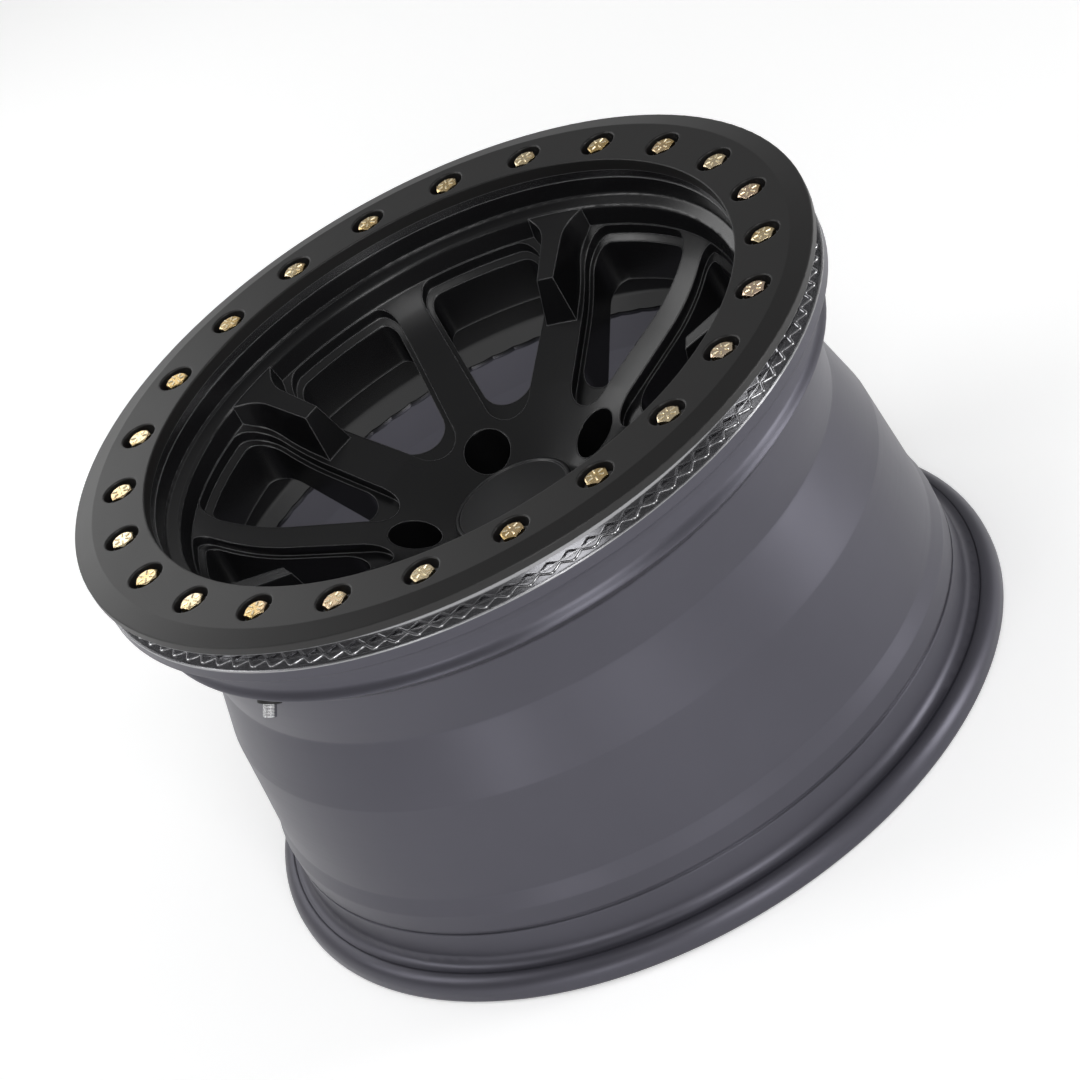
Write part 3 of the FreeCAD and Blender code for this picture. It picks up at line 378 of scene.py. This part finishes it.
def beadKnurl(k):
    # a half-round ridge carried along a closed zigzag: the radius follows a triangle wave with softened
    # peaks, asin(soft * sin) / asin(soft), and the ridge stands square across the path at each point
    turn = 2 * np.pi * np.arange(k["periods"] * k["steps"]) / (k["periods"] * k["steps"])
    wave = np.arcsin(k["soft"] * np.sin(k["periods"] * turn)) / math.asin(k["soft"])
    radius = (k["inside"] + k["outside"]) / 2 + (k["outside"] - k["inside"]) / 2 * wave
    path = np.stack([radius * np.cos(turn), radius * np.sin(turn)], 1)
    along = np.roll(path, -1, 0) - np.roll(path, 1, 0)
    along /= np.linalg.norm(along, axis=1, keepdims=True)
    across = np.stack([along[:, 1], -along[:, 0]], 1)
    arch = np.linspace(0, np.pi, k["archSteps"])
    offset, lift = 0.5 * k["wide"] * np.cos(arch), k["tall"] * np.sin(arch)
    flat = path[:, None, :] + across[:, None, :] * offset[None, :, None]
    high = np.broadcast_to((k["floor"] + lift)[None, :, None], (len(turn), len(arch), 1))
    points = np.concatenate([flat, high], 2).reshape(-1, 3)
    return meshPiece("beadKnurl", points, gridFaces(len(turn), len(arch), True, True)[:, ::-1])


boltMarks = {
    "bolts": 24, "phase": -1.244, "spin": 37.0, "circle": 0.2032, "top": 0.2757,
    "inside": 0.0022, "outside": 0.0054, "wide": 0.0011, "tall": 0.0006, "drawnIn": 0.3,
}


def gradeMarks(m):
    # six raised bars on each bolt head: a bar is a low box with its top drawn in, turned to the head's
    # six corners, then turned with the head and carried out to the bolt circle
    head = np.arange(m["bolts"])
    ringTurn = np.radians(m["phase"] + 360.0 * head / m["bolts"])
    headTurn = ringTurn + np.radians((head * m["spin"]) % 60.0)
    inset = m["drawnIn"] * m["wide"]
    near, far, half = m["inside"], m["outside"], m["wide"] / 2
    low = np.array([[near, -half], [far, -half], [far, half], [near, half]])
    bar = np.concatenate([low, low + inset * np.array([[1, 1], [-1, 1], [-1, -1], [1, -1]])])
    turn = headTurn[:, None] + np.pi / 3 * np.arange(6)[None, :]
    cosTurn, sinTurn = np.cos(turn)[..., None], np.sin(turn)[..., None]
    x = bar[:, 0] * cosTurn - bar[:, 1] * sinTurn + m["circle"] * np.cos(ringTurn)[:, None, None]
    y = bar[:, 0] * sinTurn + bar[:, 1] * cosTurn + m["circle"] * np.sin(ringTurn)[:, None, None]
    z = np.broadcast_to(m["top"] + m["tall"] * (np.arange(8) >= 4), x.shape)
    sides = np.array([[4, 5, 6, 7], [0, 1, 5, 4], [1, 2, 6, 5], [2, 3, 7, 6], [3, 0, 4, 7], [3, 2, 1, 0]])
    faces = sides[None] + 8 * np.arange(m["bolts"] * 6)[:, None, None]
    return meshPiece("gradeMarks", np.stack([x, y, z], -1).reshape(-1, 3), faces.reshape(-1, 4), False)


lipCoat = {
    "top": 0.0153, "outside": 0.2350, "upperRound": 0.0090, "lowerRound": 0.0030, "flat": 0.0006,
    "proud": 0.00004, "deep": 0.0006, "arcSteps": 14, "around": 720,
}


def rearLipCoat(c):
    # the coat over the rear lip, a closed band turned about the axle: its outer line runs along the lip's
    # flat top, round a quarter circle, down the edge and round a smaller quarter circle, and its inner
    # line lies a little deeper
    swing = np.linspace(np.pi / 2, 0, c["arcSteps"])

    def line(out):
        upper = c["upperRound"] + out
        lower = c["lowerRound"] + out
        upperAt, lowerAt = c["outside"] - c["upperRound"], c["outside"] - c["lowerRound"]
        r = [[upperAt - c["flat"]], upperAt + upper * np.cos(swing), lowerAt + lower * np.sin(swing)]
        z = [[c["top"] + out], c["top"] - c["upperRound"] + upper * np.sin(swing),
             np.maximum(c["lowerRound"] - lower * np.cos(swing), 0.0)]
        return np.stack([np.concatenate(r), np.concatenate(z)], 1)

    profile = np.concatenate([line(c["proud"]), line(-c["deep"])[::-1]])
    turn = 2 * np.pi * np.arange(c["around"]) / c["around"]
    high = np.broadcast_to(profile[:, 1:], (len(profile), len(turn)))
    points = np.stack([profile[:, :1] * np.cos(turn), profile[:, :1] * np.sin(turn), high], -1)
    return meshPiece("rearLipCoat", points.reshape(-1, 3), gridFaces(len(profile), len(turn), True, True))


coatPiece = rearLipCoat(lipCoat)
coatPiece.data.materials.append(nodes["wheel_casting"].data.materials[0])
print("lip coat made")
markPiece = gradeMarks(boltMarks)
markPiece.data.materials.append(plainMetal("markGold", (0.97, 0.83, 0.60), 0.36, 0.000004))
print("grade marks made")
knurlPiece = beadKnurl(knurl)
knurlPiece.data.materials.append(plainMetal("knurlMetal", (0.55, 0.55, 0.56), 0.22, 0.000004))
print("knurl made")

stage = {
    "floorColour": (0.97, 0.97, 0.97), "floorGlow": 0.33, "floorSize": 14.0, "floorDrop": 0.0004,
    "skyLow": 1.0, "skyHigh": 0.28, "skyFade": (0.05, 0.26),
    # lamp: place, aim, width, height, power
    "lamps": {
        "leftSoft": ((-0.62, 1.28, 0.86), (0, 0, 0.27), 0.8, 0.6, 3.5),
        "leftLow": ((-1.3, -1.7, 0.3), (0, 0, 0.05), 0.5, 0.8, 5.0),
        "leftHigh": ((-1.5, 0.55, 1.5), (0, 0, 0.02), 0.7, 0.7, 8.0),
        "rightGlow": ((1.7, -0.5, 0.4), (0, 0, 0.12), 0.5, 1.2, 15.0),
        "frontSoft": ((0.25, -2.6, 1.3), (0, 0, 0.25), 0.9, 1.5, 28.0),
        "topSoft": ((-0.2, -0.9, 2.2), (0, 0, 0.25), 0.8, 0.5, 4.0),
        "barrelFill": ((0, 0, 0.012), (0, 0, 1), 0.28, 0.28, 0.18),
    },
}


def studio(s):
    # a pale floor under a sky that is white at the horizon and dim overhead, with soft lamps
    half = s["floorSize"] / 2
    corners = np.array([[-half, -half, 0], [half, -half, 0], [half, half, 0], [-half, half, 0]])
    corners = corners - [0, 0, s["floorDrop"]]
    mesh = bpy.data.meshes.new("paleFloor")
    mesh.from_pydata(corners.tolist(), [], [[0, 1, 2, 3]])
    floor = bpy.data.objects.new("paleFloor", mesh)
    bpy.context.scene.collection.objects.link(floor)
    material, tree, shader = newMaterial("floorPaper")
    feed(tree, shader, Base_Color=(*s["floorColour"], 1.0), Roughness=0.9)
    # the paper is white to the eye and in reflections, and still takes the wheel's shadow
    rays = put(tree, "ShaderNodeLightPath").outputs
    seen = sums(tree, "MAXIMUM", rays["Is Camera Ray"], rays["Is Glossy Ray"])
    seen = sums(tree, "MAXIMUM", seen, rays["Is Transmission Ray"])
    glow = sums(tree, "MULTIPLY", seen, s["floorGlow"])
    feed(tree, shader, Emission_Color=(1, 1, 1, 1), Emission_Strength=glow)
    mesh.materials.append(material)
    world = bpy.data.worlds.new("studioSky")
    bpy.context.scene.world = world
    world.use_nodes = True
    tree = world.node_tree
    direction = put(tree, "ShaderNodeTexCoord").outputs["Generated"]
    rise = put(tree, "ShaderNodeSeparateXYZ", {0: direction}).outputs[2]
    level = blendValue(tree, step(tree, rise, *s["skyFade"]), s["skyLow"], s["skyHigh"])
    tree.links.new(level, tree.nodes["Background"].inputs["Strength"])
    tree.nodes["Background"].inputs["Color"].default_value = (1, 1, 1, 1)
    for name, (spotAt, aim, wide, high, power) in s["lamps"].items():
        lamp = bpy.data.lights.new(name, "AREA")
        lamp.energy, lamp.shape, lamp.size, lamp.size_y = power, "RECTANGLE", wide, high
        holder = bpy.data.objects.new(name, lamp)
        bpy.context.scene.collection.objects.link(holder)
        holder.location = spotAt
        holder.rotation_euler = (Vector(aim) - Vector(spotAt)).to_track_quat("-Z", "Y").to_euler()
        holder.visible_camera = False


studio(stage)
bpy.context.scene.view_settings.view_transform = "Standard"

view = {
    "turn": 43.756, "lens": 144.486, "sensor": 36.0, "unit": 0.2032, "lift": 0.2754,
    "tilt": (1.6963629748, -1.2514264273, 0.1284042453), "place": (-7.22451395, -7.88238344, 5.67037156),
}


def photoCamera(v):
    # the camera's axes are the rows of the turn given as an axis times an angle, swung round the axle
    spin = Vector(v["tilt"])
    rows = Matrix.Rotation(spin.length, 3, spin.normalized())
    swing = Matrix.Rotation(math.radians(v["turn"]), 3, "Z")
    axes = [swing @ rows[0], -(swing @ rows[1]), -(swing @ rows[2])]
    place = swing @ Vector(v["place"]) * v["unit"] + Vector((0, 0, v["lift"]))
    data = bpy.data.cameras.new("photoCamera")
    data.lens, data.sensor_width = v["lens"], v["sensor"]
    data.clip_start, data.clip_end = 0.05, 60.0
    camera = bpy.data.objects.new("photoCamera", data)
    bpy.context.scene.collection.objects.link(camera)
    turn = Matrix(axes).transposed().to_4x4()
    camera.matrix_world = Matrix.Translation(place) @ turn
    bpy.context.scene.camera = camera


photoCamera(view)
print("studio and camera set")
